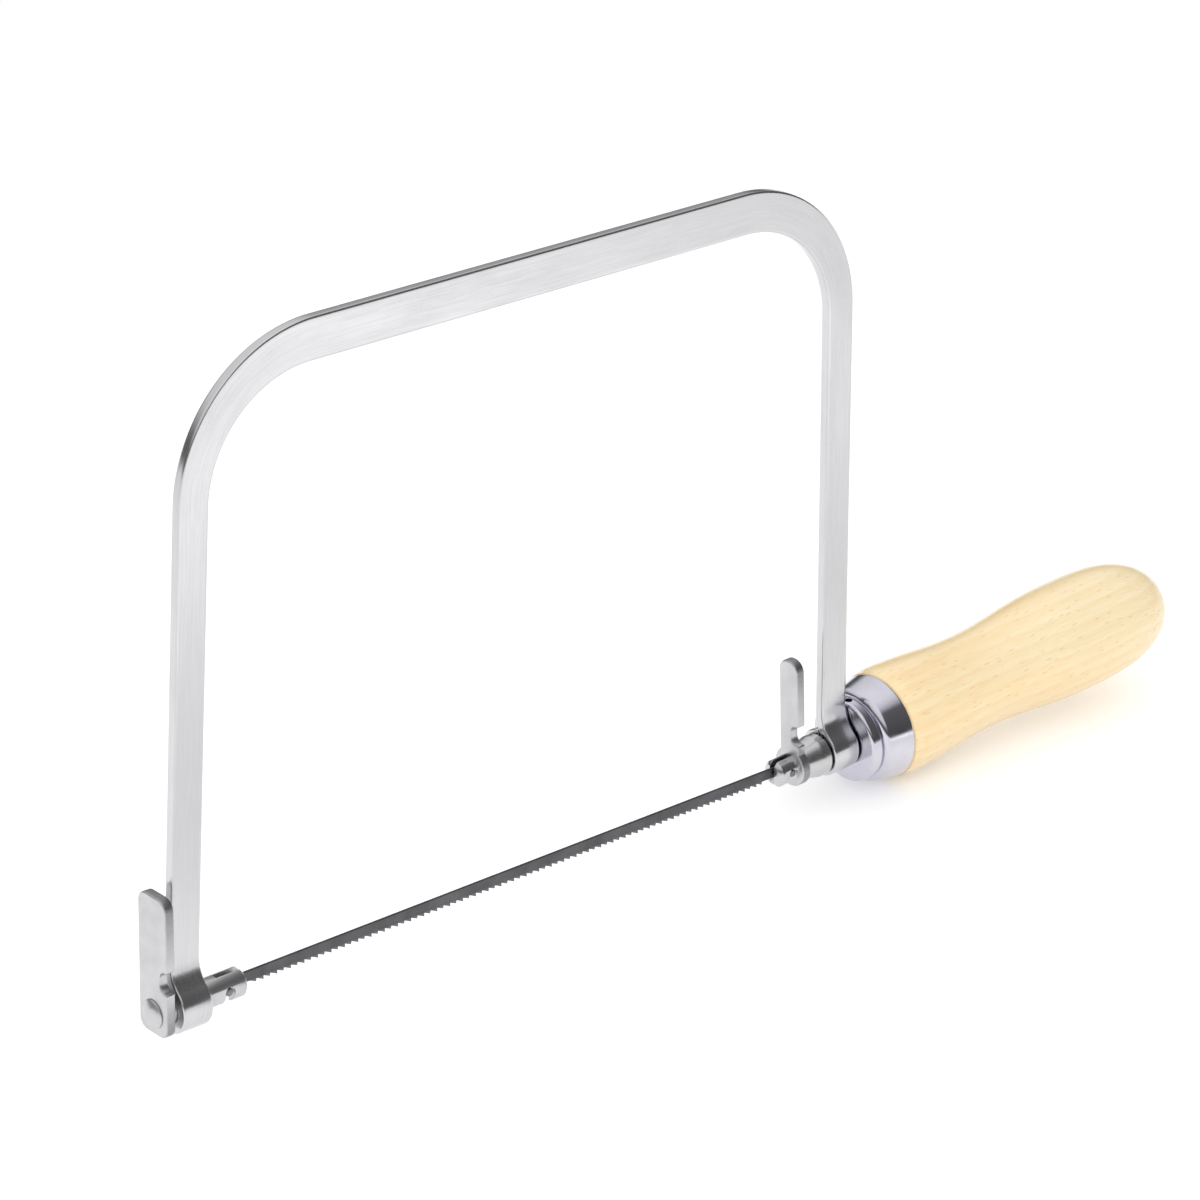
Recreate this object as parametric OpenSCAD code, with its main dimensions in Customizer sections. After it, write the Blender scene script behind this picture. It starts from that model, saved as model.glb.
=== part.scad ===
// Coping saw, the small fret saw with a flat-bar bow and a screw-on wooden handle.
//
// X runs along the blade towards the handle, Z points up from the blade to the bow's back
// and Y goes through the bow, away from the levers' finger notches. The origin is the middle
// of the back's underside, where the saw hangs from a peg. The rear spigot, the collars and
// the handle share one axis, which rises from the blade's rear pin because the legs splay
// outwards.

/* [Bow] */
// Depth of the throat, from the back's underside down to the blade line
throat_h = 132.5; // [100:0.5:160]
// Width of a leg, across its broad face
leg_w = 7.4; // [6.6:0.2:9]
// Width of the bow's back, which is deeper than the legs
back_w = 9.3; // [7:0.1:11]
// Thickness of the bow
bar_t = 2.4; // [2.2:0.1:3]
// Inside radius of the bow's two bends
bend_r = 25.5; // [15:0.5:40]
// Angle by which each leg leans outwards, in degrees
leg_splay = 2.2; // [0:0.1:3]
// Radius of the hollow between a leg and its rolled eye
eye_fillet_r = 8; // [4:0.5:10]
// Gap left where the rolled bar's end closes against the leg
eye_seam = 0.3; // [0.2:0.05:0.5]

/* [Blade] */
// Distance between the blade's two cross pins
pin_span = 160; // [150:1:165]
// Height of the blade, tooth tips included
blade_w = 3.2; // [2.6:0.1:4]
// Thickness of the blade
blade_t = 0.5; // [0.4:0.05:0.7]
// Distance between two teeth
tooth_pitch = 1.8; // [1.2:0.1:2.5]
// Depth of a tooth
tooth_depth = 0.75; // [0.5:0.05:1]
// Blade left plain beside each cross pin
plain_end = 7; // [6:0.5:10]
// Blade left beyond each cross pin
blade_end = 1.4; // [1.2:0.1:1.6]
// Diameter of a cross pin
pin_d = 1.8; // [1.4:0.1:2]
// Length of a cross pin
pin_len = 6; // [5:0.5:7]

/* [Spigots] */
// Diameter of both spigots
spigot_d = 6.4; // [5.8:0.1:7]
// Distance from the middle of the front leg's eye to the front cross pin
front_reach = 10; // [9.5:0.5:13]
// Length of the front spigot's tip beyond the cross pin
tip_len = 5; // [4:0.5:6]
// Length of the rear spigot's tip beyond the cross pin
rear_tip_len = 3.8; // [3.6:0.1:6]
// Bevel round the end of a spigot's tip
tip_bevel = 0.9; // [0.5:0.1:1.2]
// Diameter of the neck that the front lever plate is peened onto
neck_d = 4.6; // [4:0.1:5]
// Height of the peened end over the front lever plate
peen_h = 1.3; // [0.8:0.1:1.6]
// Overhang of the peened end round the neck
peen_rim = 0.9; // [0.5:0.1:1.2]
// Diameter of the rear spigot's threaded tail
tail_d = 5.6; // [5:0.1:5.8]
// Length of the rear spigot's threaded tail past the leg
tail_len = 34; // [28:1:45]
// Angle by which the rear spigot and the handle rise from the blade line, in degrees
handle_rise = 4; // [0:0.5:5]

/* [Lever plates] */
// Gap between the front leg and its lever plate
lever_gap = 1.4; // [0.4:0.1:2]
// Distance from the rear cross pin to the rear lever plate
lever_setback = 1.6; // [1.5:0.1:3]
// Width of the front lever plate
lever_w = 9.2; // [8:0.2:10]
// Width of the rear lever plate
rear_lever_w = 5.8; // [5.6:0.1:8]
// Wall of the round eye by which the rear lever plate holds its spigot
lever_wall = 1.5; // [1:0.1:2]
// Thickness of a lever plate
lever_t = 2.3; // [1.5:0.1:2.6]
// Height of a lever plate above the spigot's axis
lever_h = 27; // [20:0.5:34]
// Depth of a lever plate below the spigot's axis
lever_foot = 4.6; // [4.2:0.1:6]
// Corner radius at the top of the front lever plate
lever_top_r = 2.6; // [2:0.1:3.9]
// Corner radius at the top of the rear lever plate
rear_lever_top_r = 2.7; // [2:0.1:2.7]
// Corner radius at the foot of a lever plate
lever_foot_r = 2.4; // [1:0.1:2.7]
// Radius of the finger notch in a lever plate's edge
notch_r = 2.4; // [1.5:0.1:3]
// Height of the finger notch above the spigot's axis
notch_h = 8.4; // [7.5:0.1:12]

/* [Collars and ferrule] */
// Diameter of the hub beside the rear leg
hub_d = 10; // [9:0.2:11]
// Diameter of the hub beside the rear lever plate, from where it widens towards the leg
hub_neck_d = 7.8; // [7.6:0.1:8.6]
// Length of the hub, from the rear lever plate to the leg's eye
hub_len = 6.7; // [5:0.1:10]
// Length of the hub's widest part
hub_rim = 2.2; // [1:0.1:3]
// Diameter of the thrust collar
collar_d = 20; // [18:0.5:21]
// Thickness of the thrust collar
collar_t = 3.2; // [2.5:0.1:4.5]
// Rounding of the thrust collar's rims
collar_round = 0.8; // [0.4:0.1:1]
// Diameter of the cross hole in the thrust collar
tommy_d = 1.8; // [1.2:0.1:2]
// Depth of the cross hole in the thrust collar
tommy_depth = 3; // [2:0.1:4]
// Diameter of the ferrule's face
ferrule_d = 22; // [21:0.5:23]
// Diameter of the ferrule where it meets the wood
ferrule_mouth_d = 25.2; // [24:0.2:26]
// Length of the ferrule
ferrule_len = 7.4; // [6:0.2:14]
// Wall of the ferrule
ferrule_wall = 0.9; // [0.6:0.1:1.2]

/* [Handle] */
// Length of the bare wood behind the ferrule
wood_len = 93; // [80:1:105]
// Diameter of the shoulder behind the ferrule
shoulder_d = 26.2; // [26:0.2:28]
// Diameter of the waist
waist_d = 23; // [22:0.2:26]
// Diameter of the palm swell
swell_d = 27; // [24:0.2:30]
// Outer diameter of the threaded insert
insert_d = 10; // [9:0.5:12]
// Length of the threaded insert
insert_len = 16; // [12:1:20]

/* [Fits] */
// Radial gap between a spigot and the eye that it turns in
turn_fit = 0.08; // [0.04:0.01:0.1]
// Gap left between faces that turn against each other
face_gap = 0.4; // [0.2:0.05:0.5]
// Gap on each side of the blade in a spigot's slot
slot_gap = 0.45; // [0.35:0.05:0.5]
// Gap round a cross pin in a spigot's hook
hook_gap = 0.35; // [0.3:0.05:0.4]

/* [Hidden] */
$fn = 96;

// Overrun of every cut past the face that it opens
overrun = 1;

// Height of the blade line
blade_z = -throat_h;

// Slots and hooks in the spigots' tips
slot_w = blade_t + 2 * slot_gap;
slot_past_pin = blade_end + slot_gap;
hook_r = pin_d / 2 + hook_gap;

// Stations along the rear axis, counted from the rear cross pin
hub_front = lever_setback + lever_t;
hub_back = hub_front + hub_len;
rear_eye_in = hub_back + face_gap;
rear_eye_mid = rear_eye_in + leg_w / 2;
rear_eye_out = rear_eye_in + leg_w;
collar_front = rear_eye_out + face_gap;
ferrule_front = collar_front + collar_t;
wood_front = ferrule_front + ferrule_len;
wood_back = wood_front + wood_len;
tail_end = collar_front + tail_len;
insert_front = ferrule_front + ferrule_wall + ferrule_len / 2;
tenon_front = ferrule_front + ferrule_wall;

// Stations along the front axis, counted from the front cross pin
front_eye_out = -front_reach - leg_w / 2;
front_lever_in = front_eye_out - lever_gap;
front_lever_out = front_lever_in - lever_t;

// Legs of the bow and the eyes at their ends; each eye stands square to its spigot and
// meets its leg's centre line at the top of the hollow
bore_r = spigot_d / 2 + turn_fit;
eye_r = bore_r + bar_t;
fillet_top = sqrt(pow(eye_r + eye_fillet_r, 2) - pow(bar_t / 2 + eye_fillet_r, 2));
rear_lean = handle_rise - leg_splay;
front_leg_x = -front_reach - fillet_top * tan(leg_splay);
rear_leg_x = pin_span
    + (rear_eye_mid * cos(rear_lean) - fillet_top * sin(rear_lean)) / cos(leg_splay);
leg_half = (rear_leg_x - front_leg_x) / 2;
leg_out = [cos(leg_splay), sin(leg_splay)];
bend_outer_r = bend_r + (leg_w + back_w) / 2;

// Blade and its pins
front_pin_x = -leg_half - front_leg_x;
rear_pin_x = front_pin_x + pin_span;
tooth_count = floor((pin_span - 2 * plain_end) / tooth_pitch);
teeth_len = tooth_count * tooth_pitch;
blade_mid_x = front_pin_x + pin_span / 2;

// Handle outline, as shares of the bare wood's length
shoulder_share = 0.04;
waist_share = 0.33;
swell_share = 0.66;
wood_steps = 12;
// Powers of the rounded end's curve along and across the handle
end_power = 3.4;
end_root = 0.5;

// Moves a flat outline in the YZ plane out along X
module along_x(from, length) {
    translate([from, 0, 0])
        rotate([90, 0, 90])
            linear_extrude(length) children();
}

// Turns an outline of (radius, place along X) points round the X axis
module round_x() {
    rotate([0, 90, 0])
        rotate_extrude() children();
}

// A rod along X
module rod(from, to, d) {
    translate([from, 0, 0])
        rotate([0, 90, 0])
            cylinder(h = to - from, d = d);
}

module at_front_pin() {
    translate([front_pin_x, 0, blade_z]) children();
}

// The rear axis starts at the rear cross pin and rises towards the handle
module at_rear_pin() {
    translate([rear_pin_x, 0, blade_z])
        rotate([0, -handle_rise, 0]) children();
}

// Place along X of a line beside the rear leg's centre line, offset outwards, at height z
// above the blade line
function leg_x(offset, z) = leg_half + offset / cos(leg_splay) - z * tan(leg_splay);

// Half of the area inside one edge of the bow: the edge runs up a leg, round a bend of
// radius r and along the back
module half_area(offset, top, r, foot) {
    bend = [leg_x(offset - r, top - r), top - r];
    translate(bend) circle(r);
    polygon([
        [0, foot],
        [leg_x(offset, foot), foot],
        bend + r * leg_out,
        bend,
        [bend[0], top],
        [0, top]
    ]);
}

// Half of the bow above its eyes, on the side of positive X
module half_bow_outline() {
    difference() {
        half_area(leg_w / 2, throat_h + back_w, bend_outer_r, fillet_top);
        half_area(-leg_w / 2, throat_h, bend_r, fillet_top - overrun);
    }
}

// The bar's end, rolled round the spigot: it bends off the leg's line towards the near side,
// runs round under the spigot and closes on the far side, against its own bend
module eye_outline() {
    reach = 2 * (eye_r + eye_fillet_r);
    hollow = [-bar_t / 2 - eye_fillet_r, fillet_top];
    hollow_gap = eye_r + eye_fillet_r;
    end_gap = eye_fillet_r + bar_t + eye_seam;
    roll_end = atan2(hollow[1], hollow[0])
        - acos((pow(hollow_gap, 2) + pow(eye_r, 2) - pow(end_gap, 2)) / (2 * hollow_gap * eye_r));
    difference() {
        circle(eye_r);
        circle(bore_r);
        polygon([[0, 0], reach * [cos(roll_end), sin(roll_end)], 2 * hollow]);
    }
    intersection() {
        translate(hollow)
            difference() {
                circle(eye_fillet_r + bar_t);
                circle(eye_fillet_r);
            }
        polygon([hollow, -hollow, [reach, fillet_top]]);
    }
    translate([-bar_t / 2, fillet_top]) square([bar_t, bar_t / 2]);
}

module bow() {
    color("gainsboro") {
        translate([0, bar_t / 2, blade_z])
            rotate([90, 0, 0])
                linear_extrude(bar_t) {
                    half_bow_outline();
                    mirror([1, 0]) half_bow_outline();
                }
        at_front_pin() along_x(front_eye_out, leg_w) eye_outline();
        at_rear_pin() along_x(rear_eye_in, leg_w) eye_outline();
    }
}

// Cuts the slot of a tip and the hook that the cross pin drops into, with the tip towards
// positive X and the cross pin at the origin
module tip_cuts(tip) {
    translate([-slot_past_pin, -slot_w / 2, -spigot_d])
        cube([slot_past_pin + tip + overrun, slot_w, 2 * spigot_d]);
    rotate([90, 0, 0])
        translate([0, 0, -spigot_d])
            cylinder(h = 2 * spigot_d, r = hook_r);
    translate([-hook_r, -spigot_d, -spigot_d])
        cube([2 * hook_r, 2 * spigot_d, spigot_d]);
}

// The bevelled end of a tip, towards positive X
module tip_end(tip) {
    translate([tip - tip_bevel, 0, 0])
        rotate([0, 90, 0])
            cylinder(h = tip_bevel, d1 = spigot_d, d2 = spigot_d - 2 * tip_bevel);
}

module front_spigot() {
    peen_r = (pow(neck_d / 2 + peen_rim, 2) + pow(peen_h, 2)) / (2 * peen_h);
    color("silver")
        at_front_pin() {
            difference() {
                union() {
                    rod(front_lever_in, tip_len - tip_bevel, spigot_d);
                    tip_end(tip_len);
                }
                tip_cuts(tip_len);
            }
            rod(front_lever_out, front_lever_in, neck_d);
            intersection() {
                translate([front_lever_out - peen_h + peen_r, 0, 0]) sphere(peen_r);
                rod(front_lever_out - peen_h - overrun, front_lever_out, 2 * peen_r);
            }
        }
}

// Rounded plate seen along X, with the finger notch in its near edge
module lever_outline(width, top_r, hole_d, eye_r = 0) {
    half_w = width / 2;
    difference() {
        union() {
            translate([-half_w, lever_foot_r - lever_foot])
                square([width, lever_h + lever_foot - top_r - lever_foot_r]);
            translate([top_r - half_w, 0])
                square([width - 2 * top_r, lever_h]);
            translate([lever_foot_r - half_w, -lever_foot])
                square([width - 2 * lever_foot_r, lever_foot]);
            for (side = [-1, 1]) {
                translate([side * (half_w - top_r), lever_h - top_r])
                    circle(top_r);
                translate([side * (half_w - lever_foot_r), lever_foot_r - lever_foot])
                    circle(lever_foot_r);
            }
            if (eye_r > 0)
                circle(eye_r);
        }
        circle(d = hole_d);
        translate([-half_w, notch_h]) circle(notch_r);
    }
}

module front_lever() {
    color("silver")
        at_front_pin()
            along_x(front_lever_out, lever_t)
                lever_outline(lever_w, lever_top_r, neck_d);
}

// Straight back, plain ends and a row of teeth that point towards the handle
module blade_outline() {
    half_w = blade_w / 2;
    tooth_root = tooth_depth - half_w;
    polygon(concat(
        [
            [front_pin_x - blade_end, half_w],
            [front_pin_x - blade_end, tooth_root]
        ],
        [for (i = [0:tooth_count - 1]) each [
            [blade_mid_x - teeth_len / 2 + i * tooth_pitch, tooth_root],
            [blade_mid_x - teeth_len / 2 + (i + 1) * tooth_pitch, -half_w]
        ]],
        [
            [blade_mid_x + teeth_len / 2, tooth_root],
            [rear_pin_x + blade_end, tooth_root],
            [rear_pin_x + blade_end, half_w]
        ]
    ));
}

// A rod through the blade's plane at each cross pin
module pin_rods(length) {
    for (x = [front_pin_x, rear_pin_x])
        translate([x, length / 2, blade_z])
            rotate([90, 0, 0])
                cylinder(h = length, d = pin_d);
}

module blade() {
    color("dimgray")
        difference() {
            translate([0, blade_t / 2, blade_z])
                rotate([90, 0, 0])
                    linear_extrude(blade_t) blade_outline();
            pin_rods(blade_t + 2 * overrun);
        }
}

module cross_pins() {
    color("gray") pin_rods(pin_len);
}

module rear_spigot() {
    color("silver")
        at_rear_pin() {
            difference() {
                union() {
                    rod(tip_bevel - rear_tip_len, rear_eye_out, spigot_d);
                    mirror([1, 0, 0]) tip_end(rear_tip_len);
                }
                mirror([1, 0, 0]) tip_cuts(rear_tip_len);
            }
            rod(rear_eye_out, tail_end, tail_d);
        }
}

module rear_lever() {
    color("silver")
        at_rear_pin()
            along_x(hub_front - lever_t, lever_t)
                lever_outline(rear_lever_w, rear_lever_top_r, spigot_d,
                    spigot_d / 2 + lever_wall);
}

// A turned bell: it widens from the lever plate to a rim beside the leg
module rear_hub() {
    color("silver")
        at_rear_pin()
            difference() {
                union() {
                    translate([hub_front, 0, 0])
                        rotate([0, 90, 0])
                            cylinder(h = hub_len - hub_rim, d1 = hub_neck_d, d2 = hub_d);
                    rod(hub_back - hub_rim, hub_back, hub_d);
                }
                rod(hub_front - overrun, hub_back + overrun, spigot_d);
            }
}

module thrust_collar() {
    rim_r = collar_d / 2;
    hole_r = tail_d / 2 + turn_fit;
    color("lightsteelblue")
        at_rear_pin()
            difference() {
                round_x()
                    translate([0, collar_front]) {
                        translate([hole_r, 0]) square([rim_r - collar_round - hole_r, collar_t]);
                        translate([hole_r, collar_round])
                            square([rim_r - hole_r, collar_t - 2 * collar_round]);
                        for (y = [collar_round, collar_t - collar_round])
                            translate([rim_r - collar_round, y]) circle(collar_round);
                    }
                translate([collar_front + collar_t / 2, 0, rim_r - tommy_depth])
                    cylinder(h = tommy_depth + overrun, d = tommy_d);
            }
}

// A pressed cup: flat face, round shoulder and a wall that flares to the wood
module ferrule() {
    face_r = ferrule_d / 2;
    mouth_r = ferrule_mouth_d / 2;
    hole_r = tail_d / 2 + turn_fit;
    shoulder = 2 * ferrule_wall;
    color("lightsteelblue")
        at_rear_pin()
            round_x()
                translate([0, ferrule_front])
                    difference() {
                        union() {
                            translate([hole_r, 0]) square([face_r - shoulder - hole_r, shoulder]);
                            translate([face_r - shoulder, shoulder]) circle(shoulder);
                            polygon([
                                [hole_r, shoulder],
                                [face_r, shoulder],
                                [mouth_r, ferrule_len],
                                [hole_r, ferrule_len]
                            ]);
                        }
                        polygon([
                            [0, ferrule_wall],
                            [face_r - shoulder, ferrule_wall],
                            [face_r - ferrule_wall, shoulder],
                            [mouth_r - ferrule_wall, ferrule_len],
                            [mouth_r - ferrule_wall, ferrule_len + overrun],
                            [0, ferrule_len + overrun]
                        ]);
                    }
}

module threaded_insert() {
    color("goldenrod")
        at_rear_pin()
            difference() {
                rod(insert_front, insert_front + insert_len, insert_d);
                rod(insert_front - overrun, insert_front + insert_len + overrun,
                    tail_d + 2 * turn_fit);
            }
}

// Shares of a stretch of the handle's outline, from its start to its end
shares = [for (i = [1:wood_steps]) i / wood_steps];

// Points between two (radius, place) stations of the handle, the radius blended smoothly
function stretch(from, to) = [
    for (t = shares)
        [from[0] + (to[0] - from[0]) * (1 - cos(180 * t)) / 2, from[1] + (to[1] - from[1]) * t]
];

module handle() {
    shoulder_at = wood_front + shoulder_share * wood_len;
    waist_at = wood_front + waist_share * wood_len;
    swell_at = wood_front + swell_share * wood_len;
    mouth_r = ferrule_mouth_d / 2;
    shoulder_r = shoulder_d / 2;
    waist_r = waist_d / 2;
    swell_r = swell_d / 2;
    bore = tail_d / 2 + face_gap;
    color("wheat")
        at_rear_pin()
            difference() {
                round_x()
                    polygon(concat(
                        [
                            [0, tenon_front],
                            [ferrule_d / 2 - 2 * ferrule_wall, tenon_front],
                            [ferrule_d / 2 - ferrule_wall, tenon_front + ferrule_wall],
                            [mouth_r - ferrule_wall, wood_front],
                            [mouth_r, wood_front]
                        ],
                        stretch([mouth_r, wood_front], [shoulder_r, shoulder_at]),
                        stretch([shoulder_r, shoulder_at], [waist_r, waist_at]),
                        stretch([waist_r, waist_at], [swell_r, swell_at]),
                        [for (t = shares)
                            let (a = sin(90 * t))
                            [
                                swell_r * pow(1 - pow(a, end_power), end_root),
                                swell_at + a * (wood_back - swell_at)
                            ]
                        ]
                    ));
                rod(tenon_front - overrun, tail_end + overrun, 2 * bore);
                rod(tenon_front - overrun, insert_front + insert_len, insert_d);
            }
}

bow();
front_spigot();
front_lever();
blade();
cross_pins();
rear_spigot();
rear_lever();
rear_hub();
thrust_collar();
ferrule();
threaded_insert();
handle();
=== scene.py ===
"""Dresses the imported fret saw: its plated bow, spigots, blade and turned beech handle.

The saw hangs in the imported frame: X runs along the blade towards the handle, Z points from
the blade up to the bow's back, and the origin is the middle of the back's underside.
"""

import math
from functools import partial

import bmesh
import bpy
import numpy as np
from mathutils import Matrix, Vector


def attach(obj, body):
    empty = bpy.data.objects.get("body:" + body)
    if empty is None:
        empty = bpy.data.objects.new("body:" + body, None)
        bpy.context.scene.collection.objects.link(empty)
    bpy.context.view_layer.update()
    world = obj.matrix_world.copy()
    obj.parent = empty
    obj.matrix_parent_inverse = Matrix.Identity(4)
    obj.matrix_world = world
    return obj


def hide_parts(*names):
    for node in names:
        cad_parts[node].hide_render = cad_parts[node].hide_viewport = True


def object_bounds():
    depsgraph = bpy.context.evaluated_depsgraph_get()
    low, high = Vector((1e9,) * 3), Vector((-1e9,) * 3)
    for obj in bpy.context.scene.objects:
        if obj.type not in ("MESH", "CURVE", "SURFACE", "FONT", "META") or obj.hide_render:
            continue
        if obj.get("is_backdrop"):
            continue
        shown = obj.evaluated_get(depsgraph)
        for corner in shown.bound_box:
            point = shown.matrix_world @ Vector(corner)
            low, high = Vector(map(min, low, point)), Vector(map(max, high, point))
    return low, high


bl_info = {
    "name": "Fret saw",
    "version": (1, 0, 0),
    "blender": (4, 5, 0),
    "location": "3D View > Sidebar > Fret saw",
    "description": "Builds the visible pieces of a fret saw round its packed solids",
    "category": "Add Mesh",
}

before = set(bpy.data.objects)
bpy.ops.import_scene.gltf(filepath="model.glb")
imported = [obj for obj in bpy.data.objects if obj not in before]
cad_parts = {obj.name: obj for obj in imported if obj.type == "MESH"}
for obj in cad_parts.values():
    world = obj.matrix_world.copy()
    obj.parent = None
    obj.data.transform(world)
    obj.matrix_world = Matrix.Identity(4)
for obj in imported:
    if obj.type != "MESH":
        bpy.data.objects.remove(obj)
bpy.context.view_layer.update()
MM = 0.001
# Two points that are nearer than this, in millimetres, are taken for one, as they are made
# and where a cut leaves a sliver, and an edge shorter than SHORT is none
DOUBLE = 2e-4
SLIVER = 0.015
SHORT = 1e-5


class SawMeasures:
    """The sizes that the pieces share with the solids, in millimetres.

    front and rear are the centres of the two cross pins. The rear axis starts at the rear
    pin and rises towards the handle. Stations on it are counted from that pin."""

    throat_h = 132.5
    leg_w = 7.4
    back_w = 9.3
    bar_t = 2.4
    bend_r = 25.5
    splay = math.radians(2.2)
    hollow_r = 8.0
    bore_r = 3.28
    roll_gap = 0.3
    front_reach = 10.0
    pin_span = 160.0
    blade_w = 3.2
    blade_t = 0.5
    tooth_pitch = 1.8
    tooth_depth = 0.75
    plain_end = 7.0
    blade_end = 1.4
    pin_d = 1.8
    pin_len = 6.0
    pin_round = 0.35
    spigot_r = 3.2
    tip_len = 5.0
    rear_tip_len = 3.8
    tip_bevel = 0.9
    neck_r = 2.3
    peen_h = 1.3
    peen_rim = 0.9
    peen_rim_h = 0.3
    broken_edge = 0.12
    tip_lip = 0.15
    tail_r = 2.8
    rise = math.radians(4)
    lever_gap = 1.4
    lever_setback = 1.6
    lever_w = 9.2
    rear_lever_w = 5.8
    lever_wall = 1.5
    lever_t = 2.3
    lever_h = 27.0
    lever_foot = 4.6
    lever_top_r = 2.6
    rear_lever_top_r = 2.7
    lever_foot_r = 2.4
    notch_r = 2.4
    notch_h = 8.4
    notch_lip_r = 0.45
    notch_root_r = 1.9
    hub_r = 5.0
    hub_neck_r = 3.9
    hub_rim = 2.2
    collar_r = 10.0
    collar_t = 3.2
    tommy_r = 0.9
    tommy_depth = 3.0
    slot_w = 1.4
    slot_back = 1.85
    hook_r = 1.25
    hub_back = 10.6
    rear_eye_in = 11.0
    collar_front = 18.8
    ferrule_len = 7.4
    ferrule_r = 11.0
    mouth_r = 12.6
    ferrule_wall = 0.9
    wood_len = 93.0
    shoulder_r = 13.1
    waist_r = 11.5
    swell_r = 13.5
    wood_stations = (0.04, 0.33, 0.66)
    end_power = 3.4
    tail_len = 34.0
    thread_gap = 0.08

    hub_front = lever_setback + lever_t
    eye_r = bore_r + bar_t
    eye_mid_r = bore_r + bar_t / 2
    rear_eye_mid = rear_eye_in + leg_w / 2
    rear_eye_out = rear_eye_in + leg_w
    hollow_top = math.sqrt((eye_r + hollow_r) ** 2 - (bar_t / 2 + hollow_r) ** 2)
    lean = rise - splay
    front_leg = -front_reach - hollow_top * math.tan(splay)
    rear_leg = pin_span + (
        rear_eye_mid * math.cos(lean) - hollow_top * math.sin(lean)
    ) / math.cos(splay)
    leg_half = (rear_leg - front_leg) / 2
    front_pin = -leg_half - front_leg
    rear_pin = front_pin + pin_span
    ferrule_front = collar_front + collar_t
    wood_front = ferrule_front + ferrule_len
    front_lever_in = -front_reach - leg_w / 2 - lever_gap
    front_lever_out = front_lever_in - lever_t
    front_pin_at = np.array([front_pin, 0.0, -throat_h])
    rear_pin_at = np.array([rear_pin, 0.0, -throat_h])


S = SawMeasures
FRONT_AXES = np.eye(3)
REAR_AXES = np.array(
    [
        [math.cos(S.rise), 0.0, math.sin(S.rise)],
        [0.0, 1.0, 0.0],
        [-math.sin(S.rise), 0.0, math.cos(S.rise)],
    ]
)


def at_front(points):
    """Places points given from the front cross pin, in millimetres."""
    return points @ FRONT_AXES + S.front_pin_at


def at_rear(points):
    """Places points given along and across the rear axis, in millimetres."""
    return points @ REAR_AXES + S.rear_pin_at


# Meshes


def clean(mesh, near, short, outwards=False):
    """Merges a mesh's points nearer than near and drops its edges shorter than short, in
    millimetres; outwards turns its faces out."""
    work = bmesh.new()
    work.from_mesh(mesh)
    bmesh.ops.remove_doubles(work, verts=work.verts, dist=near * MM)
    bmesh.ops.dissolve_degenerate(work, edges=work.edges, dist=short * MM)
    if outwards:
        bmesh.ops.recalc_face_normals(work, faces=work.faces)
    work.to_mesh(mesh)
    work.free()


def finish_mesh(name, verts, faces, sharp=None, marks=None):
    """Makes an object from points in millimetres: doubles merged, faces turned outwards.
    marks are named vectors, one for each point, that a material reads."""
    mesh = bpy.data.meshes.new(name)
    mesh.from_pydata((verts * MM).tolist(), [], faces)
    for label, vectors in (marks or {}).items():
        mark = mesh.attributes.new(label, "FLOAT_VECTOR", "POINT")
        mark.data.foreach_set("vector", np.ascontiguousarray(vectors, np.float32).ravel())
    clean(mesh, DOUBLE, SHORT, outwards=True)
    mesh.shade_smooth()
    if sharp is not None:
        mesh.set_sharp_from_angle(angle=math.radians(sharp))
    obj = bpy.data.objects.new(name, mesh)
    bpy.context.scene.collection.objects.link(obj)
    return obj


def grid_faces(rows, columns, loop=False):
    """Quads between neighbours of a rows by columns grid whose rows are closed; loop closes
    the last row onto the first."""
    i = np.arange(rows if loop else rows - 1)[:, None]
    j = np.arange(columns)[None, :]
    i2, j2 = (i + 1) % rows, (j + 1) % columns
    low, high = i * columns, i2 * columns
    quads = np.broadcast_arrays(low + j, low + j2, high + j2, high + j)
    return np.stack(quads, axis=-1).reshape(-1, 4).tolist()


def grid_piece(name, points, loop=False, caps=False, sharp=None, marks=None):
    """A surface from a (rows, columns, 3) grid of points; caps closes both end rows flat."""
    rows, columns = points.shape[:2]
    faces = grid_faces(rows, columns, loop)
    if caps:
        faces.append(list(range(columns)))
        faces.append(list(range((rows - 1) * columns, rows * columns)))
    return finish_mesh(name, points.reshape(-1, 3), faces, sharp, marks)


def turned(profile, place, segments=96):
    """A turned surface: each profile point (place x along the axis, radius r) runs round the
    axis as (x, r cos a, r sin a). The angles start half a step in, so that no line of the
    mesh meets a cutter's corner."""
    profile = np.asarray(profile, float)
    a = (np.arange(segments) + 0.5) * 2 * np.pi / segments
    x = np.repeat(profile[:, :1], segments, axis=1)
    r = profile[:, 1:2]
    return place(np.stack([x, r * np.cos(a), r * np.sin(a)], axis=-1))


def circle(a, r=1.0):
    """The points (r cos a, r sin a)."""
    return np.stack([r * np.cos(a), r * np.sin(a)], axis=-1)


def rounding(r, steps):
    """An edge's rounding of radius r: how far its points lie in from the one side,
    r (1 - sin a), and from the other, r (1 - cos a), for a from 0 to a right angle."""
    a = np.linspace(0, np.pi / 2, steps)
    return r * (1 - np.sin(a)), r * (1 - np.cos(a))


def extruded(outline, ends, axis):
    """A flat outline carried between two ends of the axis that it lies across."""
    grid = np.empty((2, len(outline), 3))
    grid[..., [i for i in range(3) if i != axis]] = outline
    grid[..., axis] = np.array(ends)[:, None]
    return grid


def unit(vectors):
    """Vectors at length one; a vector without length stays as it is."""
    return vectors / np.maximum(np.linalg.norm(vectors, axis=1, keepdims=True), 1e-12)


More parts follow.
